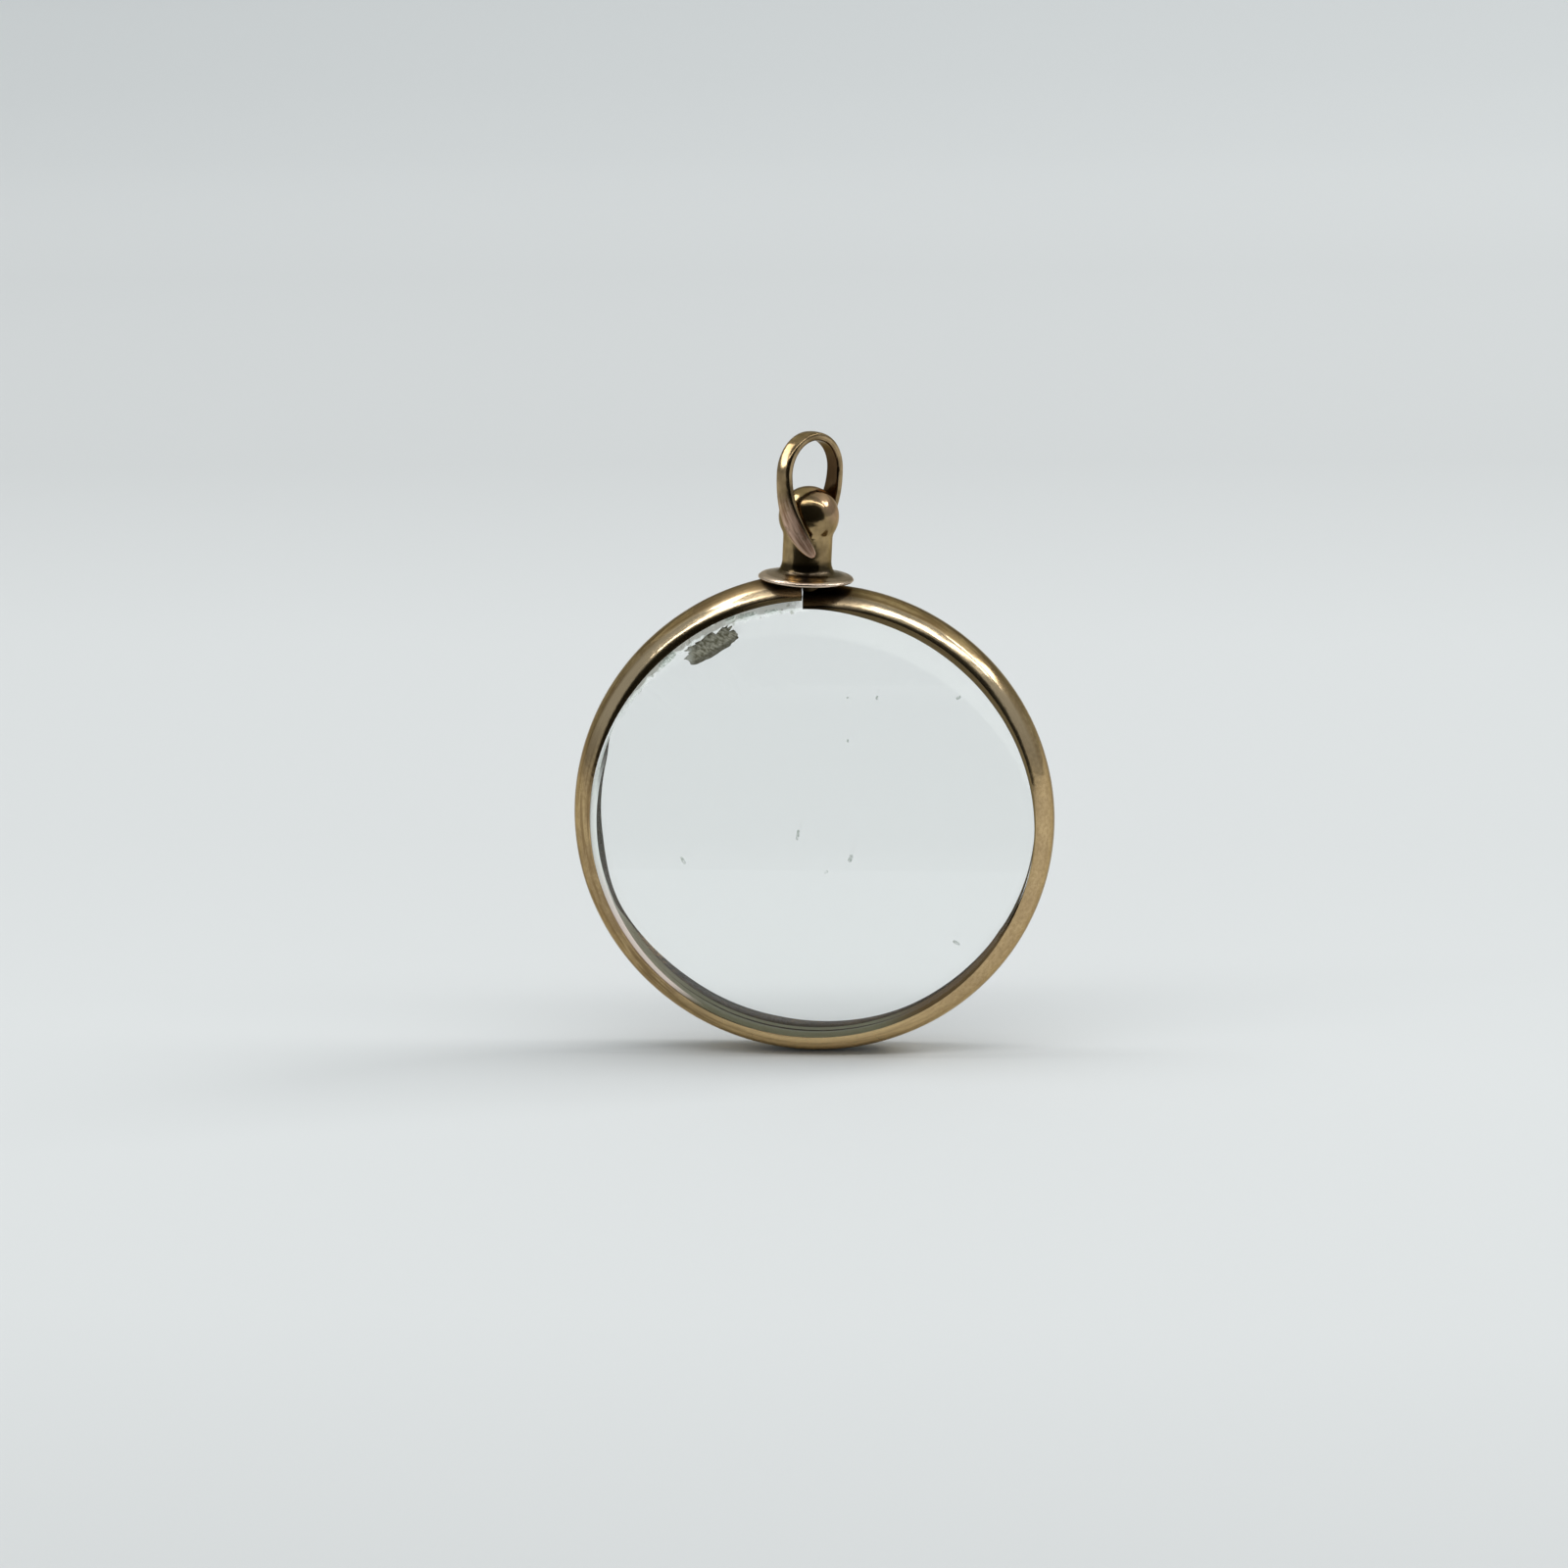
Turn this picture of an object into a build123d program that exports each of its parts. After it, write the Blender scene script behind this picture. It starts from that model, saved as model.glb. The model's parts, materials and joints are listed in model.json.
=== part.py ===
from build123d import *
import math
import os

# Floating locket: split gold hoop with two bevelled glass panes, a screw cap and a bail.
# Millimetres, +Z up, the front of the locket faces -Y. The origin is the highest point inside
# the bail's loop, where a chain carries it.

# Hoop that holds the glass
frame_diameter = 26.0        # outside, across the lower half
frame_height = 0.95          # from the lip's edge to the crown, seen from the front
frame_depth = 3.1            # front lip to back lip
frame_wall = 0.3             # thickness of the bent sheet
left_rise = 0.46             # how far the left end has sprung outwards at the top
right_drop = 0.165           # how far the right end is pressed inwards at the top
split_offset = -0.35         # middle of the split, to the side of the hoop's centre
split_gap = 0.15

# Glass panes
pane_play = 0.35             # around the panes, to the hoop's sheet
pane_rest_gap = 0.13         # below them, because they lie low in the hoop's groove
pane_set_back = 0.25         # their outer faces behind the hoop's lips
bevel_width = 1.35
bevel_depth = 0.85           # how much thinner the bevel makes a pane's rim
keepsake_gap = 0.16          # between the panes

# Screw cap: washer, tube and ball
ball_diameter = 3.2
tube_wall = 0.31             # around the bore for the posts
cap_height = 3.0             # from the ball's centre to the washer's underside
washer_diameter = 5.1
washer_thickness = 0.2
washer_curve = 7.95          # radius of the ball that the domed washer follows
solder_fillet = 0.18         # between the tube and the washer
cap_lean = 3.4               # degrees, the cap's top leans to the right
bore_roof = 0.5              # metal between the bore and the pin's hole
seat_gap = 0.07              # between the hoop's higher end and the washer

# Half posts on the hoop's ends, inside the cap
post_diameter = 1.9
post_clearance = 0.05        # around the posts and above them

# Bail
eye_opening = 2.47           # from the ball's top to the arch
loop_clearance = 0.08        # between the legs and the ball
wire_thickness = 0.44
wire_width = 0.92
wire_inner_flat = 0.6        # share of the wire's inner half that is left before it is cut flat
leaf_width = 1.09
leaf_length = 1.83           # how far the pointed ends hang below the pin
leaf_tip_thickness = 0.14
leaf_tip_width = 0.12
loop_turn = 40.1             # degrees, the arch stands turned to the left of straight ahead
leg_twist = 54.4             # degrees, how far each leg turns back on its way down
pin_diameter = 0.7
pin_clearance = 0.05         # in the ball's hole
pin_sink = 0.12              # how deep the pin's ends go into the legs
bail_lean = 2.6              # degrees, the loop's top leans to the right

# Fineness of the bail's faces
arch_steps = 14
leg_steps = 13
wire_sides = 12

# Hoop section
frame_radius = frame_diameter / 2
lip_radius = frame_radius - frame_height
crown_radius = (frame_height**2 + (frame_depth / 2) ** 2) / (2 * frame_height)
groove_radius = crown_radius - frame_wall
crown_centre = frame_radius - crown_radius

# Panes, inside the groove and behind the lips
pane_diameter = frame_diameter - 2 * (frame_wall + pane_play)
pane_flat_diameter = pane_diameter - 2 * bevel_width
pane_thickness = frame_depth / 2 - keepsake_gap / 2 - pane_set_back
pane_rim_thickness = pane_thickness - bevel_depth
pane_drop = pane_play - pane_rest_gap

# Tube around the posts, and how far the washer's rim hangs below its middle
tube_diameter = post_diameter + 2 * (post_clearance + tube_wall)
washer_dome = washer_curve - math.sqrt(washer_curve**2 - (washer_diameter / 2) ** 2)

# Bail, to the middle of its wire: reach of the legs and the arch, height of its top over the pin,
# and the height at which the arch springs from the legs
loop_radius = ball_diameter / 2 + loop_clearance + wire_thickness / 2
loop_height = ball_diameter / 2 + eye_opening + wire_thickness / 2
spring_height = loop_height - loop_radius
leg_length = spring_height + leaf_length


def leg_turn(height):
    """Degrees to the left of straight ahead at which the front leg stands, by height over the pin."""
    share = (spring_height - height) / leg_length
    return loop_turn - leg_twist * max(0.0, share) ** 2


def direction(turn):
    """Level direction that points so many degrees to the left of straight ahead."""
    angle = math.radians(turn)
    return Vector(-math.sin(angle), -math.cos(angle), 0)


pin_direction = direction(leg_turn(0))

# The pin's centre, below the point that the chain touches
eye_height = loop_height - wire_thickness / 2
pin_centre = Vector(0, 0, -eye_height).rotate(Axis((0, 0, 0), pin_direction), -bail_lean)
cap_axis = Vector(0, 0, 1).rotate(Axis.Y, cap_lean)
cap_plane = Plane(origin=pin_centre, x_dir=Vector(1, 0, 0).rotate(Axis.Y, cap_lean), z_dir=cap_axis)

# The hoop's centre: its higher end lies a gap below the washer
left_radius = frame_radius + left_rise
left_end_x = split_offset - split_gap / 2
left_end_z = math.sqrt(left_radius**2 - (left_end_x - left_rise) ** 2)
end_drop = (cap_height + seat_gap + cap_axis.X * left_end_x) / cap_axis.Z
frame_centre = pin_centre - Vector(0, 0, left_end_z + end_drop)


def hoop_section():
    """Half-round sheet section: a ring of two arcs, cut off at the lips."""
    ring = Circle(crown_radius) - Circle(groove_radius)
    kept = Rectangle(crown_radius, 2 * crown_radius, align=(Align.MIN, Align.CENTER))
    return Pos(crown_centre, 0) * ring & Pos(lip_radius, 0) * kept


def stretch_centre(shift, side):
    """Centre of the upper stretch on one side (-1 left, 1 right), its radius larger by shift."""
    return frame_centre - Vector(side * shift, 0, 0)


def hoop_arc(shift, side, start, end):
    """Stretch of the hoop from start to end degrees from the right."""
    centre = stretch_centre(shift, side)
    plane = Plane(origin=centre, x_dir=(1, 0, 0), z_dir=(0, 0, 1))
    turning = Axis(centre, (0, -1, 0))
    section = (plane * Pos(shift, 0) * hoop_section()).rotate(turning, start)
    return revolve(section, turning, end - start)


def end_angle(shift, side):
    """Degrees from the right at which one side's stretch reaches the split."""
    edge = split_offset + side * split_gap / 2
    return math.degrees(math.acos((edge + side * shift) / (frame_radius + shift)))


def split_block(side):
    """Everything on one side of the split, as a block for cutting."""
    reach = frame_diameter
    edge = frame_centre.X + split_offset + side * split_gap / 2
    return Pos(edge + side * reach / 2, 0, frame_centre.Z) * Box(reach, reach, 2 * reach)


def groove_core(shift, side):
    """The round space inside the hoop's sheet, for cutting the posts' feet."""
    plane = Plane(origin=stretch_centre(shift, side), z_dir=(0, -1, 0))
    return plane * Torus(crown_centre + shift, groove_radius)


def half_post(shift, side):
    """Half of the threaded post on one end of the hoop."""
    length = cap_height - pin_diameter / 2 - pin_clearance - bore_roof - post_clearance
    foot = frame_height + left_rise + right_drop
    top = pin_centre - cap_axis * (cap_height - length)
    plane = Plane(origin=top, x_dir=cap_plane.x_dir, z_dir=-cap_axis)
    rod = plane * extrude(Circle(post_diameter / 2), length + seat_gap + foot)
    return (rod & split_block(side)) - groove_core(shift, side)


def frame():
    """The hoop in one piece: lower half, the two upper stretches and the half posts on their ends."""
    lower = hoop_arc(0, 1, 180, 360)
    left = hoop_arc(left_rise, -1, end_angle(left_rise, -1), 180)
    right = hoop_arc(-right_drop, 1, 0, end_angle(-right_drop, 1))
    return lower + left + right + half_post(left_rise, -1) + half_post(-right_drop, 1)


def pane(side):
    """Round pane: flat towards its neighbour, bevelled towards the lip; side is -1 at the front."""
    inner = side * keepsake_gap / 2
    rim = inner + side * pane_rim_thickness
    outer = inner + side * pane_thickness
    outline = Polyline(
        (0, inner),
        (pane_diameter / 2, inner),
        (pane_diameter / 2, rim),
        (pane_flat_diameter / 2, outer),
        (0, outer),
        close=True,
    )
    centre = frame_centre - Vector(0, 0, pane_drop)
    plane = Plane(origin=centre, x_dir=(1, 0, 0), z_dir=(0, 0, 1))
    return revolve(plane * make_face(outline), Axis(centre, (0, 1, 0)), 360)


def washer_sphere(height):
    """Ball whose cap is the washer's upper or lower face, its crown so far below the pin."""
    return Pos(0, 0, -height - washer_curve) * Sphere(washer_curve)


def screw_cap():
    """Washer, tube and ball about the cap's axis, drilled for the pin and bored for the posts."""
    body = cap_height - washer_thickness
    drum = extrude(Circle(washer_diameter / 2), -cap_height - washer_dome)
    upper = washer_sphere(body)
    washer = (drum & upper) - washer_sphere(cap_height)
    tube = extrude(Circle(tube_diameter / 2), -body - washer_thickness / 2)
    foot = Cone(
        tube_diameter / 2 + solder_fillet,
        tube_diameter / 2,
        2 * solder_fillet,
        align=(Align.CENTER, Align.CENTER, Align.MIN),
    )
    blank = Sphere(ball_diameter / 2) + tube + washer + Pos(0, 0, -body - solder_fillet / 2) * foot
    roof = pin_diameter / 2 + pin_clearance + bore_roof
    bore_radius = post_diameter / 2 + post_clearance
    bore = Pos(0, 0, -roof) * extrude(Circle(bore_radius), -cap_height)
    placed = cap_plane * (blank - bore)
    return placed - pin_rod(pin_diameter / 2 + pin_clearance, ball_diameter)


def pin_rod(radius, length):
    """Rod through the ball along the pin's direction."""
    plane = Plane(origin=pin_centre - pin_direction * (length / 2), z_dir=pin_direction)
    return plane * extrude(Circle(radius), length)


def leg_stations():
    """Front leg from the leaf's point up to the arch: place, outward direction, width, thickness."""
    stations = []
    for step in range(leg_steps):
        share = step / leg_steps
        height = -leaf_length + share * leg_length
        outward = direction(leg_turn(height))
        middle = outward * loop_radius + Vector(0, 0, height)
        width, thickness = leaf_size(height)
        stations.append((middle, outward, width, thickness))
    return stations


def leaf_size(height):
    """Width and thickness of a leg: full from the pin up, drawn to a point below it."""
    if height >= 0:
        share = min(1.0, height / spring_height)
        return leaf_width + (wire_width - leaf_width) * share, wire_thickness
    share = 1 + height / leaf_length
    round_out = math.sqrt(1 - (1 - share) ** 2)
    width = leaf_tip_width + (leaf_width - leaf_tip_width) * round_out
    thickness = leaf_tip_thickness + (wire_thickness - leaf_tip_thickness) * round_out
    return width, thickness


def arch_stations():
    """Arch from the front leg over the top to the back leg."""
    forward = direction(loop_turn)
    stations = []
    for step in range(arch_steps + 1):
        angle = math.pi * step / arch_steps
        outward = forward * math.cos(angle) + Vector(0, 0, math.sin(angle))
        middle = outward * loop_radius + Vector(0, 0, spring_height)
        stations.append((middle, outward, wire_width, wire_thickness))
    return stations


def bail_stations():
    """All stations, from the front leaf's point over the arch to the back leaf's point."""
    front = leg_stations()
    back = [
        (middle.rotate(Axis.Z, 180), outward.rotate(Axis.Z, 180), width, thickness)
        for middle, outward, width, thickness in reversed(front)
    ]
    return front + arch_stations() + back


def wire_ring(station, along):
    """Points around the wire: flat inside, rounded outside."""
    middle, outward, width, thickness = station
    across = along.cross(outward).normalized()
    radial = across.cross(along).normalized()
    points = []
    for side in range(wire_sides):
        angle = 2 * math.pi * side / wire_sides
        share = (max(math.sin(angle), -wire_inner_flat) + wire_inner_flat) / (1 + wire_inner_flat)
        lift = share * thickness - thickness / 2
        points.append(middle + across * (math.cos(angle) * width / 2) + radial * lift)
    return points


def wire_solid(rings):
    """Closed solid over the rings of points, with a flat face at each end."""
    faces = [face_of(rings[0][::-1]), face_of(rings[-1])]
    for low, high in zip(rings, rings[1:]):
        for side in range(len(low)):
            after = (side + 1) % len(low)
            faces.append(face_of([low[side], low[after], high[side]]))
            faces.append(face_of([low[after], high[after], high[side]]))
    return Solid(Shell(faces))


def face_of(points):
    return Face(Wire.make_polygon(points, close=True))


def bail():
    """Loop with its leaves and the pin that joins them through the ball."""
    stations = bail_stations()
    rings = []
    for place, station in enumerate(stations):
        before = stations[max(place - 1, 0)][0]
        after = stations[min(place + 1, len(stations) - 1)][0]
        rings.append(wire_ring(station, (after - before).normalized()))
    loop = Pos(pin_centre) * wire_solid(rings)
    loop = loop.rotate(Axis(pin_centre, pin_direction), -bail_lean)
    reach = 2 * (loop_radius - wire_thickness / 2 + pin_sink)
    return loop + pin_rod(pin_diameter / 2, reach)


nodes = {
    "bail": bail(),
    "screw_cap": screw_cap(),
    "frame": frame(),
    "glass_front": pane(-1),
    "glass_back": pane(1),
}

os.makedirs("parts", exist_ok=True)
for name, shape in nodes.items():
    export_step(shape, f"parts/{name}.step")

print("pin centre", pin_centre, "direction", pin_direction)
print("cap axis", cap_axis, "hoop centre", frame_centre)
print("eye axis", direction(loop_turn).cross(Vector(0, 0, 1)).rotate(Axis((0, 0, 0), pin_direction), -bail_lean))
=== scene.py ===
"""Looks of a floating locket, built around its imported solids. Metres, +Z up, the front faces -Y."""
import json
import math

import bmesh
import bpy
from mathutils import Matrix, Vector, noise


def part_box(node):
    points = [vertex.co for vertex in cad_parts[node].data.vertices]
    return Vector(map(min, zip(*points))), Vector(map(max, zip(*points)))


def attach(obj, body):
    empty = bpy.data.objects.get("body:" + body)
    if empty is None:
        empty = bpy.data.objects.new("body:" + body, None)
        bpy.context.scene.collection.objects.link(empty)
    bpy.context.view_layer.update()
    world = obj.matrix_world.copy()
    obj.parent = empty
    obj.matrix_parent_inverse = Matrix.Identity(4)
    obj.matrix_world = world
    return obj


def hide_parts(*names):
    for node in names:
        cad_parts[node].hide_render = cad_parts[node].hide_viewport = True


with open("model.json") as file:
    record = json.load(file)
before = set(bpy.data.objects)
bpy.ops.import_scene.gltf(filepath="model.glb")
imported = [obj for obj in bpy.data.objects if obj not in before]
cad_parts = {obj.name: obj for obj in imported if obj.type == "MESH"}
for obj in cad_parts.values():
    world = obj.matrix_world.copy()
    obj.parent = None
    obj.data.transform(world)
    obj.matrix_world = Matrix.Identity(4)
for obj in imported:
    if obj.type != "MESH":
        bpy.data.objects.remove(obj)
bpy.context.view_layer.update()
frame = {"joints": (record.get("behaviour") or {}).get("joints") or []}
MM = 0.001
UP = Vector((0, 0, 1))

# Hoop of half-round gold sheet, in millimetres
FRAME_HEIGHT = 0.95          # lip to crown, seen from the front
FRAME_WALL = 0.3             # thickness of the sheet
LEFT_RISE = 0.46             # the left end has sprung outwards
RIGHT_DROP = 0.165           # the right end is pressed inwards
SPLIT_OFFSET = -0.35         # of the split from the hoop's middle
SPLIT_GAP = 0.07
FLAT_PLACE = math.radians(49)    # worn flat along the front shoulder, from the crown
FLAT_REACH = math.radians(7)     # to either side of its middle
FLAT_DRIFT = math.radians(9)     # how far it wanders
LIP_CURL = 0.45              # radius to which the front lip is rolled in over the glass
LIP_ROUNDING = 0.05
REAR_LIP = 0.42              # how much further the rear lip is pressed in at the bottom
HOOP_STEPS = 420
SECTION_STEPS = 34           # points on the outside, and as many inside
CURL_SHARE = 0.2             # of those, for the curl
HOOP_UNEVEN = 0.02           # how far the hand-made hoop wavers
SHARP_EDGES = math.radians(40)   # turned pieces are shaded smooth below it

# Stretches of the hoop, in degrees from its right: starts, is full, begins to fade, is gone
ROLLED_RIGHT = (-12, 56, 68, 94)
ROLLED_BOTTOM = (240, 262, 326, 348)
PRESSED_LEFT = (155, 166, 185, 208)
PRESSED_BOTTOM = (196, 236, 258, 296)
PRESSED_RIGHT = (262, 290, 300, 350)
MOST_CURL = math.radians(67)     # how far round the front lip could be rolled

# Panes
PANE_PLAY = 0.35             # between the rim and the inside of the sheet
PANE_REST_GAP = 0.13         # what is left of it at the bottom
KEEPSAKE_GAP = 0.16          # between the two panes
PANE_SET_BACK = 0.38         # of the outer face behind the lip
RIM_THICKNESS = 0.37
BEVEL_WIDTH = 0.36
ARRIS = 0.04                 # the ground-off sharp edges
PANE_SEGMENTS = 480

# Screw cap
BALL_RADIUS = 1.6
TUBE_RADIUS = 1.31
NECK_FILLET = 0.8            # between the ball and the tube
CAP_HEIGHT = 3.0             # from the ball's centre to the washer's underside
WASHER_RADIUS = 2.55
WASHER_THICKNESS = 0.2
WASHER_CURVE = 7.95
WASHER_ROLL = 0.34           # width of its rounded edge
WASHER_FALL = 0.19           # and depth
FOOT_FLARE = 0.18
FOOT_CURVE = [(0, 3), (0.15, 2), (0.55, 0.8), (1.1, 0.15)]   # out and up, as shares of the flare
TRUE_RADIUS = 1.7            # within it the cap runs true
RIM_DENT, RIM_RIPPLE = 0.07, 0.03    # how far its rim is out of true
BORE_RADIUS = 1.0
BORE_TOP = 0.9               # below the ball's centre
POST_RADIUS = 0.95
POST_LENGTH = 2.05           # above the washer's underside
POST_SINK = 0.38             # below the hoop's top
PIN_HOLE_RADIUS = 0.4
CAP_SEGMENTS = 128

# Bail
LOOP_RADIUS = 1.9
LOOP_HEIGHT = 4.29
WIRE_THICKNESS = 0.44
WIRE_WIDTH = 0.92
WIRE_INNER_FLAT = 0.6
LEAF_WIDTH = 1.09
LEAF_LENGTH = 1.83
LEAF_TIP_THICKNESS = 0.14
LEAF_TIP_WIDTH = 0.12
LEAF_FLATNESS = 0.35         # of the outer face, where 1 is a round wire
ARCH_FLATNESS = 0.3
BEATEN_LOW, BEATEN_HIGH = -0.2, 1.6      # above the pin, where the leaf's flat face fades out
LOOP_TURN = 40.1             # degrees that the loop is turned about the upright
LEG_TWIST = 54.4             # degrees that each leg twists back
BAIL_LEAN = 2.6              # degrees to the left
PIN_RADIUS = 0.35
PIN_LENGTH = 3.6
PIN_CHAMFER = 0.05
BAIL_STEPS = 260
WIRE_SIDES = 40

# Photograph's view: its side in pixels, and the camera about the hoop's centre
PHOTO_SIDE = 1600
FOCAL_PIXELS = 3437
SENSOR = 36
VIEW_TURN = math.radians(4.6)
VIEW_LIFT = math.radians(14.0)
VIEW_ROLL = math.radians(-0.97)
VIEW_DISTANCE = 182 * MM
AIM_RIGHT = 29.4             # pixels from the picture's middle to the hoop's centre
AIM_DOWN = 35.5
FLOOR_GAP = 0.03             # millimetres under the hoop

joints = {joint["name"]: joint for joint in frame["joints"]}
pin_centre = Vector(joints["bail_swing"]["pos_m"])
pin_direction = Vector(joints["bail_swing"]["axis"]).normalized()
cap_axis = -Vector(joints["cap_screw"]["axis"]).normalized()
hoop_low, hoop_high = (Vector(corner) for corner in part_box("frame"))
hoop_radius = (hoop_high.x - hoop_low.x) / 2
half_depth = (hoop_high.y - hoop_low.y) / 2
middle = [(low + high) / 2 for low, high in zip(hoop_low, hoop_high)]
hoop_centre = Vector((middle[0], middle[1], hoop_low.z + hoop_radius))


def operation(name, reflected=False):
    """Method that adds this node for a wire and the other value, if there is one."""

    def method(self, *others):
        values = (*others, self) if reflected else (self, *others)
        return self.maths(name, *values)

    return method


class Wire:
    """One socket of a node tree, so that maths on it is written as an expression."""

    def __init__(self, tree, socket=None):
        self.tree = tree
        self.socket = socket

    def node(self, kind, settings=None, inputs=None, output=0):
        """Adds a node from its type, its settings and its sockets' values or links; gives one output."""
        made = self.tree.nodes.new(kind)
        for name, value in (settings or {}).items():
            if name == "stops":
                set_stops(made.color_ramp, value)
            else:
                setattr(made, name, value)
        for key, value in (inputs or {}).items():
            if isinstance(value, Wire):
                self.tree.links.new(value.socket, made.inputs[key])
            else:
                made.inputs[key].default_value = value
        return Wire(self.tree, made.outputs[output]) if made.outputs else None

    def maths(self, name, *values):
        """Math node, or a Vector Math node where a value is a vector or a colour."""
        kinds = [isinstance(value, Wire) and value.socket.type in ("VECTOR", "RGBA") for value in values]
        if not any(kinds):
            return self.node("ShaderNodeMath", {"operation": name}, dict(enumerate(values)))
        if name == "MULTIPLY" and not all(kinds):
            vector = values[kinds.index(True)]
            scale = values[kinds.index(False)]
            return self.node("ShaderNodeVectorMath", {"operation": "SCALE"}, {0: vector, 3: scale})
        return self.node("ShaderNodeVectorMath", {"operation": name}, dict(enumerate(values)))

    __add__, __radd__ = operation("ADD"), operation("ADD", reflected=True)
    __sub__, __rsub__ = operation("SUBTRACT"), operation("SUBTRACT", reflected=True)
    __mul__, __rmul__ = operation("MULTIPLY"), operation("MULTIPLY", reflected=True)
    __truediv__, __rtruediv__ = operation("DIVIDE"), operation("DIVIDE", reflected=True)
    __pow__ = operation("POWER")
    __lt__, __gt__ = operation("LESS_THAN"), operation("GREATER_THAN")
    least, most = operation("MINIMUM"), operation("MAXIMUM")
    sine, cosine = operation("SINE"), operation("COSINE")
    size, root = operation("ABSOLUTE"), operation("SQRT")
    unit, cross = operation("NORMALIZE"), operation("CROSS_PRODUCT")

    def parts(self):
        """The three numbers of a vector."""
        return [self.node("ShaderNodeSeparateXYZ", None, {0: self}, output) for output in range(3)]

    def vector(self, x, y, z):
        return self.node("ShaderNodeCombineXYZ", None, {0: x, 1: y, 2: z})

    def ease(self, low, high):
        """From 0 at low to 1 at high, smoothly, whichever of the two is the larger."""
        inputs = {"Value": self, "From Min": low, "From Max": high}
        return self.node("ShaderNodeMapRange", {"interpolation_type": "SMOOTHSTEP"}, inputs)

    def colour(self, first, second):
        """Colour that goes from first to second as this number goes from 0 to 1."""
        return self.node("ShaderNodeMix", {"data_type": "RGBA"}, {0: self, 6: first, 7: second}, output=2)


def set_stops(ramp, stops):
    """Puts (place, colour) pairs on a colour ramp."""
    while len(ramp.elements) < len(stops):
        ramp.elements.new(1.0)
    for element, (place, colour) in zip(ramp.elements, stops):
        element.position = place
        element.color = colour


def tone(red, green, blue):
    """Colour of the shader from one as it is read in a picture, 0 to 255."""
    shares = [value / 255 for value in (red, green, blue)]
    linear = [share / 12.92 if share <= 0.04045 else ((share + 0.055) / 1.055) ** 2.4 for share in shares]
    return (*linear, 1.0)


def new_material(name, plain):
    """Material whose shader has these plain values; gives it, a bench for its nodes and the shader."""
    material = bpy.data.materials.new(name)
    material.use_nodes = True
    shader = material.node_tree.nodes["Principled BSDF"]
    for socket, value in plain.items():
        shader.inputs[socket].default_value = value
    return material, Wire(material.node_tree), shader


def feed(shader, name, wire):
    """Links an expression to one of the shader's sockets."""
    wire.tree.links.new(wire.socket, shader.inputs[name])


def grain(bench, place, scale, detail, rough=0.55):
    """Noise from 0 to 1, with this many grains to one unit of the place."""
    inputs = {"Vector": place, "Scale": scale, "Detail": detail, "Roughness": rough}
    return bench.node("ShaderNodeTexNoise", None, inputs)


def bump(bench, height, distance):
    """Normal of a surface raised by the height, which is counted in distances."""
    return bench.node("ShaderNodeBump", None, {"Height": height, "Distance": distance, "Strength": 1.0})


def attribute(bench, name):
    """Number that the mesh keeps at its points under a name."""
    return bench.node("ShaderNodeAttribute", {"attribute_name": name}, None, "Fac")


def about(bench, centre):
    """Place in millimetres from a point of the locket."""
    place = bench.node("ShaderNodeTexCoord", output="Object")
    return ((place - bench.vector(*centre)) * (1 / MM)).parts()


# Gold: grains to the metre, depth of the scratches in millimetres, and its tones: worn ones, and painted
# light and shade
PATCH_GRAIN, DENT_GRAIN, SCRATCH_GRAIN = 750, 1000, 5200
SCRATCH_DEPTH = 0.0012
SHEEN = tone(220, 208, 188)
BROWN_STREAK, BROWN_SPECKLE, CROWN_SHADE = tone(128, 102, 68), tone(134, 108, 72), tone(112, 92, 66)
SHADE_BY_WASHER, DOME_REFLECTION_BROWN, INNER_SHADE_BROWN = tone(124, 104, 76), tone(122, 92, 66), tone(66, 46, 28)
PAINTED_LIGHT_LOWER_RIGHT, WORN_SHOULDER_HIGHLIGHT, FOOT_FLOOR_REFLECTION = tone(218, 188, 142), tone(222, 200, 164), tone(238, 208, 156)
PINK_WASHER, RIM_HIGHLIGHT, PINK_SHOULDER = tone(168, 150, 132), tone(232, 210, 190), tone(196, 160, 132)
COPPER, COPPER_STREAK, COPPER_MOTTLE = tone(158, 116, 92), tone(238, 204, 180), tone(112, 84, 60)
OLIVE_LIP, DULL_INSIDE = tone(172, 150, 108), tone(140, 122, 92)
SHADE_AND_EDGE_BROWN, DARK_FOOT = tone(52, 40, 26), tone(52, 44, 30)


def gold_finish(name, light, dull, roughness, dented, wear_and_painted_light):
    """Old nine carat gold: a lighter and a duller tone in patches, softly dented and finely scratched."""
    material, bench, shader = new_material(name, {"Metallic": 1.0, "Specular Tint": SHEEN})
    place = bench.node("ShaderNodeTexCoord", output="Object")
    patches = grain(bench, place, PATCH_GRAIN, 4)
    colour = patches.ease(0.36, 0.64).colour(light, dull)
    colour, rough = wear_and_painted_light(bench, colour, roughness + patches * 0.12 - 0.05)
    feed(shader, "Base Color", colour)
    feed(shader, "Roughness", rough)
    dents = grain(bench, place, DENT_GRAIN, 2) * dented
    scratches = grain(bench, place, SCRATCH_GRAIN, 2) * SCRATCH_DEPTH
    feed(shader, "Normal", bump(bench, dents + scratches, MM))
    return material


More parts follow.
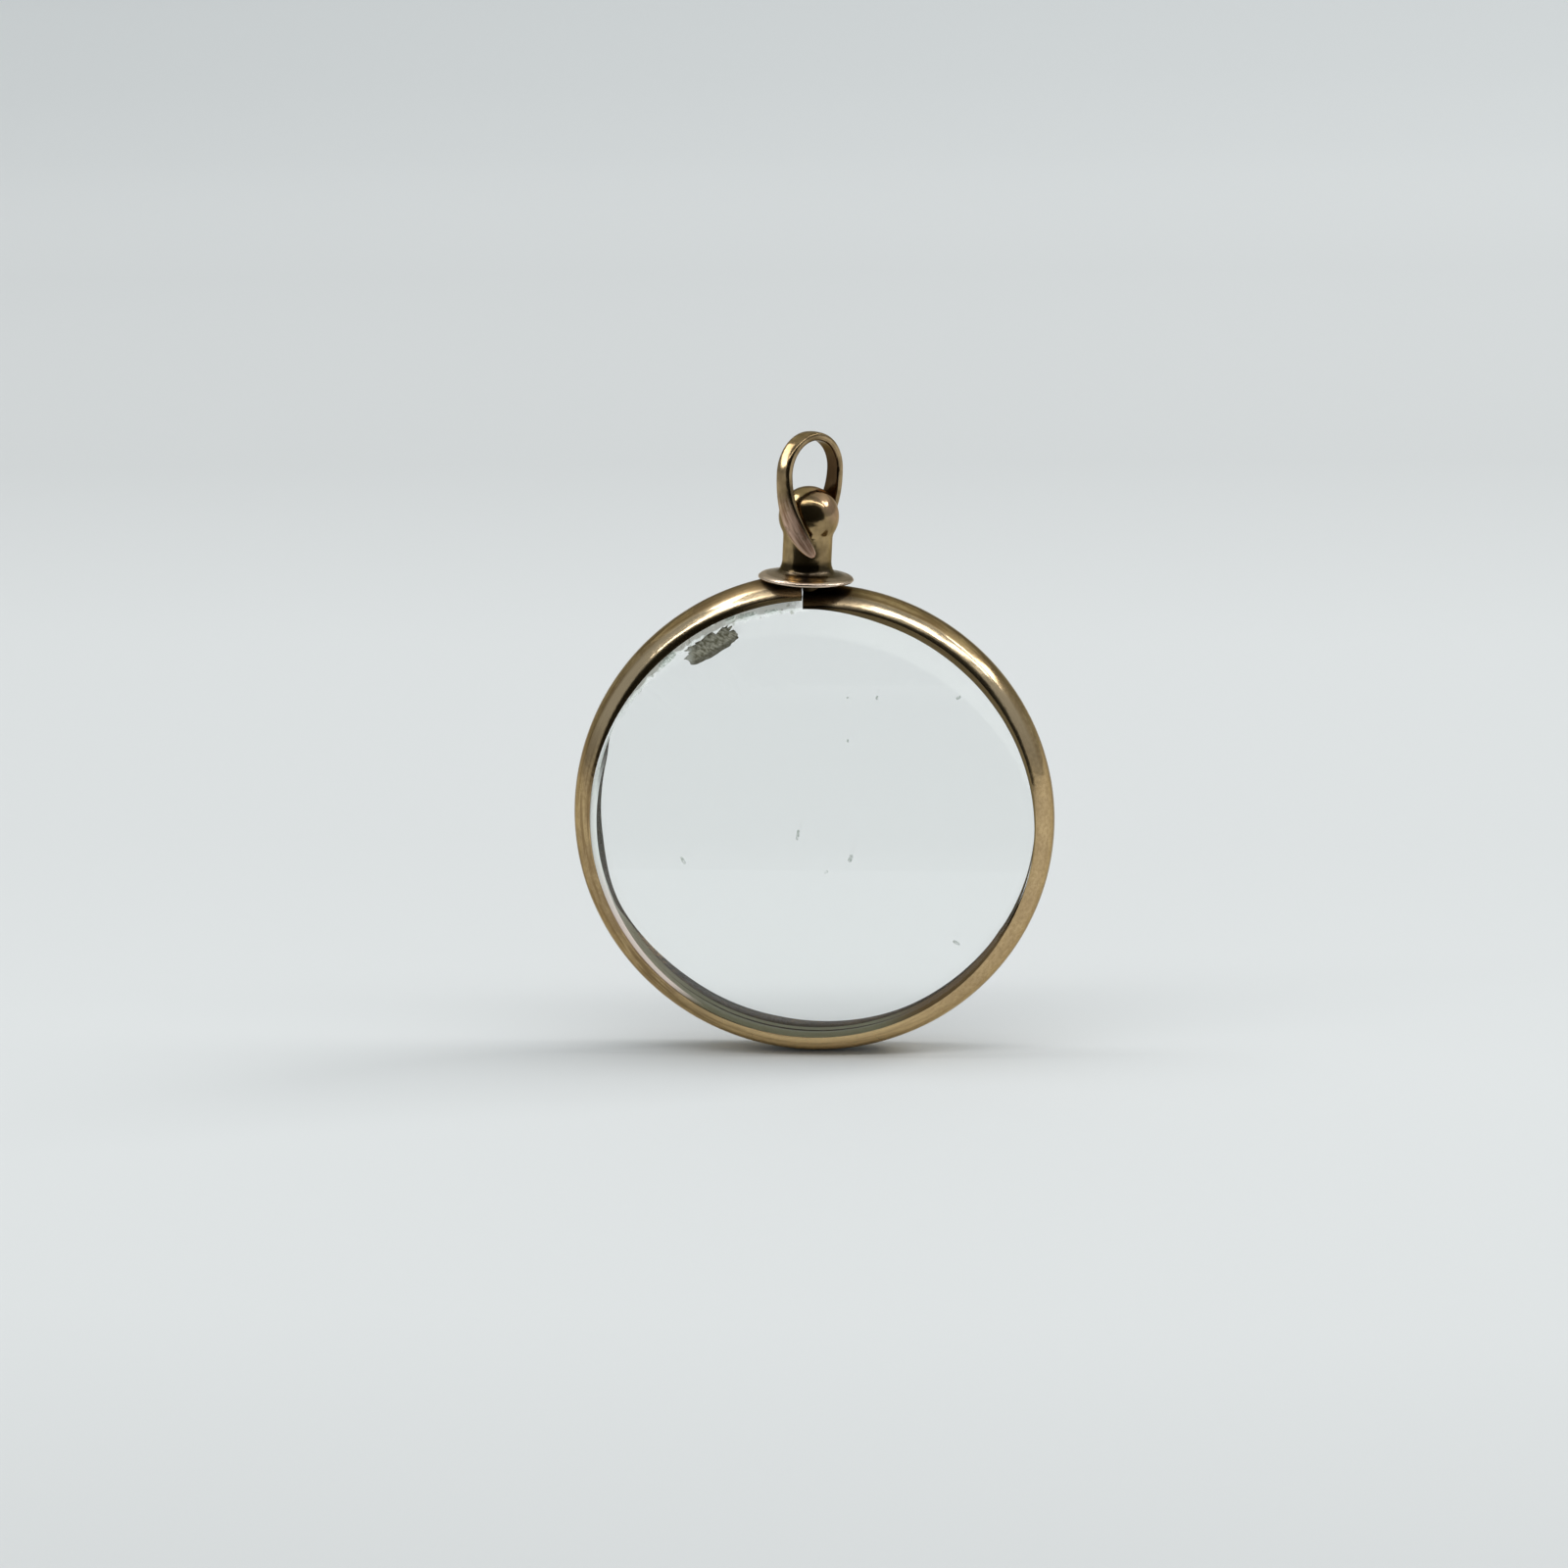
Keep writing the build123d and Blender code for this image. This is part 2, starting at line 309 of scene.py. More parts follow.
def hoop_wear_and_painted_light(bench, colour, rough):
    """Streaks along the hoop, worn shoulder lightened partly as a painted highlight, olive rolled lip,
    painted light and shade, and darkened lip edges; places in millimetres.
    """
    across, inside, edge = (attribute(bench, name) for name in ("across", "inside", "edge"))
    x, _, z = about(bench, hoop_centre)

    # Brown streaks and specks along the hoop, fewer towards the lower right, which is painted lighter;
    # painted shade along the crown
    streaks = grain(bench, bench.vector(x * 0.35, across * 8.0, z * 0.35), 1.0, 4)
    plain = (x * 0.8 - z * 0.6).ease(1.0, 7.0)
    colour = (streaks.ease(0.42, 0.6) * (0.7 - 0.35 * plain)).colour(colour, BROWN_STREAK)
    # Painted light: the lower right is lightened
    colour = (plain * 0.5).colour(colour, PAINTED_LIGHT_LOWER_RIGHT)
    speckle = grain(bench, bench.vector(x, across, z), 5.0, 3, 0.7)
    colour = (speckle.ease(0.35, 0.65) * 0.35).colour(colour, BROWN_SPECKLE)
    # Painted shade along the crown, at the hoop's outer edge
    colour = (across.size().ease(0.45, 0.1) * (0.35 + 0.3 * plain)).colour(colour, CROWN_SHADE)

    # Worn upper shoulder, lightened partly as a painted highlight; painted reflection of the bright floor at
    # the foot; painted shade left of the washer; olive rolled lip and dull inside
    worn = (across + FLAT_PLACE).size().ease(0.3, 0.12) * z.ease(2.0, 7.0)
    colour = (worn * 0.8).colour(colour, WORN_SHOULDER_HIGHLIGHT)
    # Painted shade on the hoop left of the washer
    shaded = (x + 4.0).size().ease(2.8, 1.7) * across.ease(-0.76, -0.6) * z.ease(10.0, 11.0)
    colour = (shaded * 0.7).colour(colour, SHADE_BY_WASHER)
    # Painted reflection of the bright floor along the bottom
    low = z.ease(-9.0, -12.4)
    colour = (low * (0.45 + 0.4 * streaks.ease(0.6, 0.42))).colour(colour, FOOT_FLOOR_REFLECTION)
    rolled = across.ease(-1.1, -1.24) * (x + z).ease(6.0, 12.0)
    colour = rolled.colour(colour, OLIVE_LIP)
    colour = (inside * 0.8).colour(colour, DULL_INSIDE)

    # Painted shade along the underside at the bottom, under and beside the washer and on the right end at
    # the split; the lips' edges are darkened too
    under = z.ease(-12.2, -12.8) * across.size().ease(0.5, 0.25)
    washer_shade = (x - 0.1).size().ease(3.9, 1.6) * across.size().ease(1.3, 0.75)
    split_end_shade = x.ease(2.2, 0.6) * (x > SPLIT_OFFSET)
    dark = ((washer_shade.most(split_end_shade) * z.ease(11.0, 11.6)).most(under) * 0.9).most(edge)
    colour = (dark * 0.97).colour(colour, SHADE_AND_EDGE_BROWN)
    return colour, rough + inside * 0.3 + rolled * 0.4 + low * 0.12 + shaded * 0.25 + washer_shade * 0.15


def cap_wear_and_painted_light(bench, colour, rough):
    """Painted reflection browning the top of the ball, darker round the foot, pinkish washer with a painted
    highlight along its rim, and pinkish right shoulder; in millimetres.
    """
    x, y, z = about(bench, pin_centre)
    out = (x * x + y * y).root()
    foot = z.ease(-2.2, -2.5) * out.ease(2.0, 1.6)
    washer = z.ease(-2.72, -2.84)
    colour = (washer * 0.9).colour(colour, PINK_WASHER)
    # Painted highlight along the washer's rim
    rim = washer * out.ease(2.25, 2.4)
    colour = (rim * 0.7).colour(colour, RIM_HIGHLIGHT)
    shoulder = (x * 0.8 + z * 0.6).ease(0.7, 1.5)
    colour = (shoulder * 0.7).colour(colour, PINK_SHOULDER)
    # Painted reflection: the top of the ball is browned
    dome = (z * 0.75 + y * 0.66).ease(0.75, 1.3)
    colour = (dome * 0.9).colour(colour, DOME_REFLECTION_BROWN)
    # Darker round the foot of the tube
    return (foot * 0.85).colour(colour, DARK_FOOT), rough + washer * 0.08


def bail_wear_and_painted_light(bench, colour, rough):
    """The leaves' flat faces are rubbed to a matt pinkish copper; the wire's inner side is painted with
    brown shade.
    """
    worn, around, run = (attribute(bench, name) for name in ("worn", "around", "run"))
    streaks = grain(bench, bench.vector(around * 2.4, run * 0.5, 0.0), 1.0, 3)
    mottled = grain(bench, bench.vector(around * 0.8, run * 1.6, 4.0), 1.0, 4, 0.65)
    rubbed = streaks.ease(0.36, 0.62).colour(COPPER, COPPER_STREAK)
    rubbed = (mottled.ease(0.52, 0.66) * 0.5).colour(rubbed, COPPER_MOTTLE)
    # Painted shade on the wire's inner side
    inner = around.sine().ease(-0.2, -0.5)
    colour = (inner * 0.9).colour(colour, INNER_SHADE_BROWN)
    return (worn * 0.92).colour(colour, rubbed), rough + worn * 0.34


# Glass: its clear body, the tones of its matt places, and the glue and dust on it
CLEAR = {"Base Color": (0.988, 0.995, 0.992, 1), "Transmission Weight": 1.0, "Roughness": 0.0, "IOR": 1.5}
GREEN_DUST_AND_SHADE, BROWNISH, PINKISH = tone(130, 130, 108), tone(112, 92, 62), tone(232, 214, 204)
WHITISH, BAND_GLOW = tone(232, 238, 234), tone(244, 247, 245)
GLUE_EDGE_SHADE, GLUE_END = tone(70, 66, 50), tone(206, 208, 198)


def glass_finish(name, front):
    """Old clear glass with matt places: ground rims, and in front crumbs, a band of painted light and a left
    strip.
    """
    material, bench, shader = new_material(name, CLEAR)

    # Where it is matt, and in which tone, by the place in millimetres from the pane's middle
    rim, _, drop = pane_sizes()
    x, y, z = about(bench, hoop_centre + Vector((0, 0, -drop * MM)))
    radius = (x * x + z * z).root()
    if front:
        crumbs = grain(bench, bench.vector(x, z, 0.0), 2.6, 5, 0.7)
        upper_left = x.ease(0.4, -1.0) * z.ease(5.6, 7.6)
        broken = (radius + crumbs * 0.9).ease(12.17, 12.31) * upper_left * crumbs.ease(0.3, 0.4)
        # A faint matt band across the upper pane that glows as painted light
        off_centre = ((x + 0.7) * (x + 0.7) + (z + 2.8) * (z + 2.8)).root()
        painted_light_band = off_centre.ease(13.12, 13.42) * (0.04 + 0.05 * x.ease(-1.0, 3.0))
        ground = radius.ease(rim - 0.03, rim - 0.01) * x.ease(6.0, 3.0) * z.ease(0.0, -4.0)
        strip = radius.ease(11.64, 11.67) * (x < 0.0) * (y < -0.6) * z.ease(-10.2, -8.6) * z.ease(4.5, 1.0)
        shown = broken.most(painted_light_band).most(ground).most(strip)
        dusty = crumbs.ease(0.56, 0.62) * upper_left * 0.45
        # Whitish above, pinkish lower down; at the bottom the glass's own green, darkened as painted shade,
        # and green dust in the crumbs
        colour = (z.ease(-1.0, -6.0) * 0.8).colour(WHITISH, PINKISH)
        colour = z.ease(-9.5, -11.0).most(dusty).colour(colour, GREEN_DUST_AND_SHADE)
    else:
        edge = rim - 0.4 - 0.23 * z.ease(-4.6, -6.2)
        shown = radius.ease(edge - 0.01, edge + 0.02) * x.ease(10.8, 9.6)
        # Whitish above, the glass's own green below, darkened as painted shade, and brownish to the right
        colour = x.ease(3.0, 6.0).colour(z.ease(-2.0, -6.5).colour(WHITISH, GREEN_DUST_AND_SHADE), BROWNISH)

    # The matt places glow a little, in place of the light that ground glass scatters
    lit = colour * 0.5
    # The band glows brighter still, a painted light
    if front:
        lit = (painted_light_band * (1.0 - broken)).ease(0.0, 0.03).colour(lit, BAND_GLOW)
    ground_glass = {"Base Color": colour, "Roughness": 0.7, "Emission Color": lit, "Emission Strength": 0.7}
    matt = bench.node("ShaderNodeBsdfPrincipled", None, ground_glass)
    clear = Wire(bench.tree, shader.outputs[0])
    mixed = bench.node("ShaderNodeMixShader", None, {0: shown, 1: clear, 2: matt})
    bench.tree.links.new(mixed.socket, bench.tree.nodes["Material Output"].inputs[0])
    return material


# Paper: how pale it is at each share of its depth, painted lighter and darker as the light falls
PAPER_SHADE_LEVELS = [
    (0.0, 0.57), (0.136, 0.605), (0.175, 0.655), (0.22, 0.67), (0.27, 0.648), (0.33, 0.652), (0.406, 0.60),
    (0.55, 0.65), (0.9, 0.93),
]


def paper_finish():
    """Matt white paper, painted lighter and darker from front to back as the light falls."""
    material, bench, shader = new_material("pale_paper", {"Roughness": 0.85, "Specular IOR Level": 0.1})
    _, depth, _ = bench.node("ShaderNodeTexCoord", output="Object").parts()
    colours = [(share, (level * 0.99, level * 1.016, level * 1.016, 1)) for share, level in PAPER_SHADE_LEVELS]
    share = ((depth + 0.1) / 2.0).most(0.0) ** 0.5
    feed(shader, "Base Color", bench.node("ShaderNodeValToRGB", {"stops": colours}, {0: share}))
    return material


def stain_finish(name, dark, light, scale, thin):
    """Dried glue and dust, streaky and matt, glowing a little as painted light; thin is how much of it shows
    the glass through.
    """
    material, bench, shader = new_material(name, {"Roughness": 0.8, "Emission Strength": 0.5 * thin})
    x, _, z = about(bench, hoop_centre)
    lumps = grain(bench, bench.vector(x * 0.8 - z * 0.5, 0.0, (x * 0.5 + z * 0.8) * 2.0), scale, 4, 0.65)
    colour = lumps.ease(0.38, 0.62).colour(dark, light)
    # Painted shade along the glue's lower edge
    lower_edge_shade = ((x + 5.5) * 0.515 - (z - 9.78) * 0.857).ease(0.36, 0.5) * (1.0 - thin)
    colour = (lower_edge_shade * 0.7).colour(colour, GLUE_EDGE_SHADE)
    pale_end = (x + lumps * 1.2).ease(-5.5, -5.9) * (1.0 - thin)
    colour = (pale_end * 0.8).colour(colour, GLUE_END)
    feed(shader, "Base Color", colour)
    feed(shader, "Emission Color", colour)
    feed(shader, "Alpha", 1.0 - thin * lumps.ease(0.4, 0.6))
    feed(shader, "Normal", bump(bench, lumps, 0.06 * MM))
    return material


def new_object(name, data):
    """Object at the origin with this mesh, lamp or camera."""
    made = bpy.data.objects.new(name, data)
    bpy.context.scene.collection.objects.link(made)
    return made


def finished(work, name, material=None):
    """Mesh, in a material, of what was built; ends the work on it."""
    mesh = bpy.data.meshes.new(name)
    work.to_mesh(mesh)
    work.free()
    if material:
        mesh.materials.append(material)
    return mesh


def placing(first, second, third, origin):
    """Matrix that lays the three axes along these directions, from an origin."""
    matrix = Matrix((first, second, third)).transposed().to_4x4()
    matrix.translation = origin
    return matrix


def settle(made):
    """Applies the object's modifiers, so that its mesh is plain."""
    evaluated = made.evaluated_get(bpy.context.evaluated_depsgraph_get())
    made.data = bpy.data.meshes.new_from_object(evaluated)
    made.modifiers.clear()


def point_outwards(mesh):
    """Merges doubled points and turns every face outwards."""
    work = bmesh.new()
    work.from_mesh(mesh)
    bmesh.ops.remove_doubles(work, verts=work.verts, dist=1e-7)
    bmesh.ops.recalc_face_normals(work, faces=work.faces)
    for face in work.faces:
        face.smooth = True
    work.to_mesh(mesh)
    work.free()


def round_edges(made, width, angle=35, segments=3):
    """Rounds the sharp edges and keeps the broad faces' shading."""
    edges = made.modifiers.new("rounded edges", "BEVEL")
    edges.limit_method = "ANGLE"
    edges.angle_limit = math.radians(angle)
    edges.width = width
    edges.segments = segments
    edges.harden_normals = True
    settle(made)


def geometry_tree(name, sizes):
    """Geometry tree with a named input for each size and one for the material; gives bench and inputs."""
    tree = bpy.data.node_groups.new(name, "GeometryNodeTree")
    tree.interface.new_socket("Mesh", in_out="OUTPUT", socket_type="NodeSocketGeometry")
    for label in sizes:
        tree.interface.new_socket(label, in_out="INPUT", socket_type="NodeSocketFloat")
    tree.interface.new_socket("Material", in_out="INPUT", socket_type="NodeSocketMaterial")
    inputs = tree.nodes.new("NodeGroupInput")
    return Wire(tree), {socket.name: Wire(tree, socket) for socket in inputs.outputs if socket.name}


def flat_grid(bench, columns, rows):
    """Grid of points, and each point's column and row as numbers."""
    grid = bench.node("GeometryNodeMeshGrid", None, {0: 1.0, 1: 1.0, 2: columns, 3: rows})
    x, y, _ = bench.node("GeometryNodeInputPosition").parts()
    return grid, (x + 0.5) * (columns - 1.0), (y + 0.5) * (rows - 1.0)


def end_tree(bench, grid, position, marks, material):
    """Moves the grid's points, keeps the named marks on them and ends the tree."""
    for name, value in marks.items():
        inputs = {"Geometry": grid, "Name": name, "Value": value}
        grid = bench.node("GeometryNodeStoreNamedAttribute", None, inputs)
    shaped = bench.node("GeometryNodeSetPosition", None, {"Geometry": grid, "Position": position})
    merged = bench.node("GeometryNodeMergeByDistance", None, {"Geometry": shaped, "Distance": 1e-7})
    real = bench.node("GeometryNodeRealizeInstances", None, {"Geometry": merged})
    painted = bench.node("GeometryNodeSetMaterial", None, {"Geometry": real, "Material": material})
    bench.node("NodeGroupOutput", None, {0: painted})


def grow(name, bench, sizes, material):
    """Plain mesh object from a geometry tree whose inputs get these sizes."""
    made = new_object(name, bpy.data.meshes.new(name))
    modifier = made.modifiers.new("tree", "NODES")
    modifier.node_group = bench.tree
    for item in bench.tree.interface.items_tree:
        if item.in_out == "INPUT":
            modifier[item.identifier] = sizes.get(item.name, material)
    settle(made)
    point_outwards(made.data)
    return made


def stretch(angle, limits):
    """From 0 to 1 and back to 0 along a stretch of the hoop, whose four limits are in degrees."""
    starts, full, fades, gone = (math.radians(limit) for limit in limits)
    return angle.ease(starts, full) * angle.ease(gone, fades)


def split_hoop(material):
    """The hoop: a half-round sheet section carried around three arcs, closed at the split."""
    rise_left, drop_right = LEFT_RISE * MM, RIGHT_DROP * MM
    height = FRAME_HEIGHT * MM
    crown = (height**2 + half_depth**2) / (2 * height)
    left_edge = (SPLIT_OFFSET - SPLIT_GAP / 2) * MM
    right_edge = (SPLIT_OFFSET + SPLIT_GAP / 2) * MM
    sizes = {
        "Radius": hoop_radius,
        "Crown": crown,
        "Lip": crown - height,
        "Wall": FRAME_WALL * MM,
        "Left rise": rise_left,
        "Right drop": drop_right,
        "Start": math.acos((left_edge - rise_left) / (hoop_radius + rise_left)),
        "End": 2 * math.pi + math.acos((right_edge - drop_right) / (hoop_radius - drop_right)),
        "Uneven": HOOP_UNEVEN * MM,
        "Curl": LIP_CURL * MM,
        "Rear lip": REAR_LIP * MM,
    }
    bench, size = geometry_tree("split_hoop", sizes)
    columns, half = HOOP_STEPS + 3, SECTION_STEPS
    grid, column, row = flat_grid(bench, columns, 2 * half + 1)

    # Angle from the right, and which of the three arcs it is on
    share = (column - 1.0).most(0.0).least(HOOP_STEPS) / HOOP_STEPS
    angle = size["Start"] + share * (size["End"] - size["Start"])
    on_left = angle < math.pi
    on_right = angle > 2 * math.pi
    rise = on_left * size["Left rise"] - on_right * size["Right drop"]
    shift = on_left * size["Left rise"] + on_right * size["Right drop"]

    # Place around the section: outside from the front lip to the back lip, then inside back again
    row = row * (row < 2 * half - 0.5)
    inside = row > half - 0.5
    share = (row - inside * float(half)) / (half - 1.0)
    share = share + inside * (1.0 - 2.0 * share)
    ends = (column < 0.5) + (column > columns - 1.5)
    sheet = size["Crown"] - size["Wall"] * (inside + ends * (0.5 - inside))
    widest = bench.maths("ARCCOSINE", size["Lip"] / sheet)

    # The front lip is rolled in over the glass, mostly on the upper right
    from_right = angle - 2 * math.pi * (angle > math.pi)
    upper_right = stretch(from_right, ROLLED_RIGHT) * (angle > math.pi)
    upper_left = angle.ease(math.radians(176), math.radians(130)) * (angle < math.pi)
    bottom = stretch(angle, ROLLED_BOTTOM)
    curl = MOST_CURL * (0.2 + 0.38 * upper_right + 0.3 * upper_left + 0.1 * bottom)
    bent = ((share - CURL_SHARE).most(0.0) * (2.0 / (1.0 - CURL_SHARE)) - 1.0) * widest
    across = bent - curl * (1.0 - share / CURL_SHARE).most(0.0)

    # Worn flat along the front shoulder, on the outside only
    lean = bench.vector(angle.cosine(), angle.sine(), 0.0)
    place = bent + FLAT_PLACE + (grain(bench, lean, 4.0, 3) - 0.5) * (2 * FLAT_DRIFT)
    chord = (math.cos(FLAT_REACH) / place.cosine()).least(1.0)
    sheet = sheet * (1.0 - (1.0 - chord) * (bent < 0.0) * (1.0 - inside))

    # Slow waver of a hoop bent by hand, and the rear lip pressed in
    waver = (grain(bench, lean, 2.4, 2) - 0.5) * size["Uneven"]
    rolled = size["Curl"] - size["Crown"] + sheet
    round_out = size["Crown"] - size["Curl"]
    reach = size["Radius"] - size["Crown"] + round_out * bent.cosine() + rolled * across.cosine()
    reach = reach + rise + waver
    left, foot, right = (stretch(angle, limits) for limits in (PRESSED_LEFT, PRESSED_BOTTOM, PRESSED_RIGHT))
    pressed = size["Rear lip"] * (0.2 + 0.7 * left + 0.8 * foot + 0.25 * right)
    reach = reach - pressed * share.ease(0.9, 1.0) * (1.0 - inside)
    x = hoop_centre.x + shift + reach * angle.cosine()
    y = hoop_centre.y + round_out * bent.sine() + rolled * across.sine()
    z = hoop_centre.z + reach * angle.sine()
    edge = (share.ease(0.04, 0.0) * 0.6).most(share.ease(0.84, 0.9))
    marks = {"across": across, "inside": inside, "edge": edge}
    end_tree(bench, grid, bench.vector(x, y, z), marks, size["Material"])
    hoop = grow("hoop", bench, sizes, material)
    round_edges(hoop, LIP_ROUNDING * MM)
    return hoop


def bail_loop(material):
    """The bail: a flattened wire along two twisting legs and an arch, its ends drawn into leaves."""
    sizes = {
        "Loop radius": LOOP_RADIUS * MM,
        "Spring height": (LOOP_HEIGHT - LOOP_RADIUS) * MM,
        "Leaf length": LEAF_LENGTH * MM,
        "Wire width": WIRE_WIDTH * MM,
        "Wire thickness": WIRE_THICKNESS * MM,
        "Inner flat": WIRE_INNER_FLAT,
        "Leaf width": LEAF_WIDTH * MM,
        "Tip width": LEAF_TIP_WIDTH * MM,
        "Tip thickness": LEAF_TIP_THICKNESS * MM,
        "Flatness": LEAF_FLATNESS,
        "Turn": math.radians(LOOP_TURN),
        "Twist": math.radians(LEG_TWIST),
        "Lean": math.radians(-BAIL_LEAN),
    }
    bench, size = geometry_tree("bail_loop", sizes)
    columns = BAIL_STEPS + 3
    grid, column, row = flat_grid(bench, columns, WIRE_SIDES + 1)
    radius, spring, leaf = size["Loop radius"], size["Spring height"], size["Leaf length"]

    # Height on the leg or angle on the arch, counted from either leaf's tip
    share = (column - 1.0).most(0.0).least(BAIL_STEPS) * (2.0 / BAIL_STEPS) - 1.0
    behind = share > 0.0
    from_tip = 1.0 - share.size()
    leg = spring + leaf
    run = from_tip * (leg + radius * (math.pi / 2))
    height = run.least(leg) - leaf
    arch = (run - leg).most(0.0) / radius

    # Which way the leg stands there, and the wire's own three directions
    left = (spring - height) / leg
    turn = size["Turn"] - size["Twist"] * left * left
    twisting = 2.0 * size["Twist"] * left / leg
    level = bench.vector(turn.sine() * -1.0, turn.cosine() * -1.0, 0.0)
    sideways = bench.vector(turn.cosine() * -1.0, turn.sine(), 0.0)
    up = bench.vector(0.0, 0.0, 1.0)
    outward = level * arch.cosine() + up * arch.sine()
    along = (sideways * (radius * twisting) + up * arch.cosine() - level * arch.sine()).unit()
    across = along.cross(outward).unit()
    radial = across.cross(along)

    # Width and thickness: full from the pin up, drawn to a point below it
    drawn = (1.0 + height / leaf).least(1.0)
    round_out = (1.0 - (1.0 - drawn) * (1.0 - drawn)).root()
    upper = size["Leaf width"] + (size["Wire width"] - size["Leaf width"]) * (height / spring).most(0.0)
    width = size["Tip width"] + (upper - size["Tip width"]) * round_out
    thickness = size["Tip thickness"] + (size["Wire thickness"] - size["Tip thickness"]) * round_out
    ends = (column < 0.5) + (column > columns - 1.5)
    whole = 1.0 - ends

    # Around the wire: rounded outside, flatter on the leaf, and flat inside
    row = row * (row < WIRE_SIDES - 0.5)
    angle = row * (2 * math.pi / WIRE_SIDES)
    lift = angle.sine().most(size["Inner flat"] * -1.0)
    beaten = height.ease(BEATEN_HIGH * MM, BEATEN_LOW * MM)
    power = ARCH_FLATNESS + (size["Flatness"] - ARCH_FLATNESS) * beaten
    rounded = lift.most(0.0) ** power
    lift = (rounded + lift.least(0.0) + size["Inner flat"]) / (1.0 + size["Inner flat"]) - 0.5
    facing = 1.0 - 2.0 * behind
    middle = level * (radius * arch.cosine()) + up * (radius * arch.sine() + height)
    wide = across * (angle.cosine() * width * whole * facing * 0.5)
    point = middle + wide + radial * (lift * thickness * whole)
    x, y, z = point.parts()
    point = bench.vector(x * facing, y * facing, z)
    leaning = {"Vector": point, "Axis": tuple(pin_direction), "Angle": size["Lean"]}
    point = bench.node("ShaderNodeVectorRotate", None, leaning) + bench.vector(*pin_centre)
    worn = beaten * angle.sine().ease(0.35, 0.75)
    marks = {"worn": worn, "around": angle, "run": run * (1 / MM)}
    end_tree(bench, grid, point, marks, size["Material"])
    return grow("bail_loop", bench, sizes, material)


def arc(centre, radius, start, end, steps):
    """Points on an arc, in degrees from the first axis."""
    turns = [math.radians(start + (end - start) * step / steps) for step in range(steps + 1)]
    return [(centre[0] + radius * math.cos(turn), centre[1] + radius * math.sin(turn)) for turn in turns]


def turned(name, profile, segments, material, shape=None):
    """Closed solid turned from (radius, height) points in millimetres, its ends on the axis."""
    work = bmesh.new()
    rings = []
    for radius, height in profile:
        ring = []
        for step in range(segments if radius > 0 else 1):
            turn = 2 * math.pi * step / segments
            r, h = shape(radius, height, turn) if shape else (radius, height)
            ring.append(work.verts.new((r * math.cos(turn) * MM, r * math.sin(turn) * MM, h * MM)))
        rings.append(ring)
    for low, high in zip(rings, rings[1:]):
        for step in range(segments):
            after = (step + 1) % segments
            corners = [low[step % len(low)], low[after % len(low)]]
            corners += [high[after % len(high)], high[step % len(high)]]
            work.faces.new(list(dict.fromkeys(corners)))
    made = new_object(name, finished(work, name, material))
    point_outwards(made.data)
    return made


def stand(made, origin, axis, across):
    """Turns a mesh whose own axis is Z so that it stands on an axis of the locket."""
    made.data.transform(placing(across, axis.cross(across).normalized(), axis, origin))


def washer_fall(radius):
    """How far the domed washer has fallen at a radius."""
    return WASHER_CURVE - math.sqrt(WASHER_CURVE**2 - radius**2)


def cap_profile():
    """Ball, neck, tube, flared foot, domed washer and the bore for the posts."""
    neck_depth = math.sqrt((BALL_RADIUS + NECK_FILLET) ** 2 - (TUBE_RADIUS + NECK_FILLET) ** 2)
    low = math.degrees(math.atan2(-neck_depth, TUBE_RADIUS + NECK_FILLET))
    ball = arc((0, 0), BALL_RADIUS, 90, low, 48)
    neck = arc((TUBE_RADIUS + NECK_FILLET, -neck_depth), NECK_FILLET, low + 180, 180, 8)
    top = CAP_HEIGHT - WASHER_THICKNESS
    foot_height = top + washer_fall(TUBE_RADIUS + FOOT_FLARE)
    foot = [(TUBE_RADIUS + out * FOOT_FLARE, up * FOOT_FLARE - foot_height) for out, up in FOOT_CURVE]
    half = WASHER_THICKNESS / 2
    inner, outer = TUBE_RADIUS + 1.5 * FOOT_FLARE, WASHER_RADIUS - half
    steps = 10
    spread = [inner + (outer - inner) * step / steps for step in range(steps + 1)]
    broad = WASHER_RADIUS - WASHER_ROLL
    upper = [(radius, -top - washer_fall(radius)) for radius in spread if radius < broad]
    level = -top - washer_fall(broad)
    rim = [(broad + WASHER_ROLL * x, level - WASHER_FALL * (1 - y)) for x, y in arc((0, 0), 1, 84, 6, 12)]
    rim += arc((outer, -top - washer_fall(outer) - half), half, -20, -80, 5)
    back = [BORE_RADIUS + (outer - BORE_RADIUS) * step / steps for step in range(steps, -1, -1)]
    lower = [(radius, -CAP_HEIGHT - washer_fall(radius)) for radius in back]
    outside = [(0, BALL_RADIUS)] + ball[1:] + neck[1:] + foot + upper + rim
    return outside + lower + [(BORE_RADIUS, -BORE_TOP), (0, -BORE_TOP)]


def drill(made, centre, direction, radius):
    """Drills a hole through a piece."""
    work = bmesh.new()
    bmesh.ops.create_cone(work, cap_ends=True, segments=48, radius1=radius, radius2=radius, depth=8 * MM)
    bit = new_object("drill", finished(work, "drill"))
    stand(bit, centre, direction, direction.cross(UP).normalized())
    cut = made.modifiers.new("hole", "BOOLEAN")
    cut.object = bit
    cut.solver = "EXACT"
    settle(made)
    bpy.data.objects.remove(bit)
    made.data.set_sharp_from_angle(angle=SHARP_EDGES)


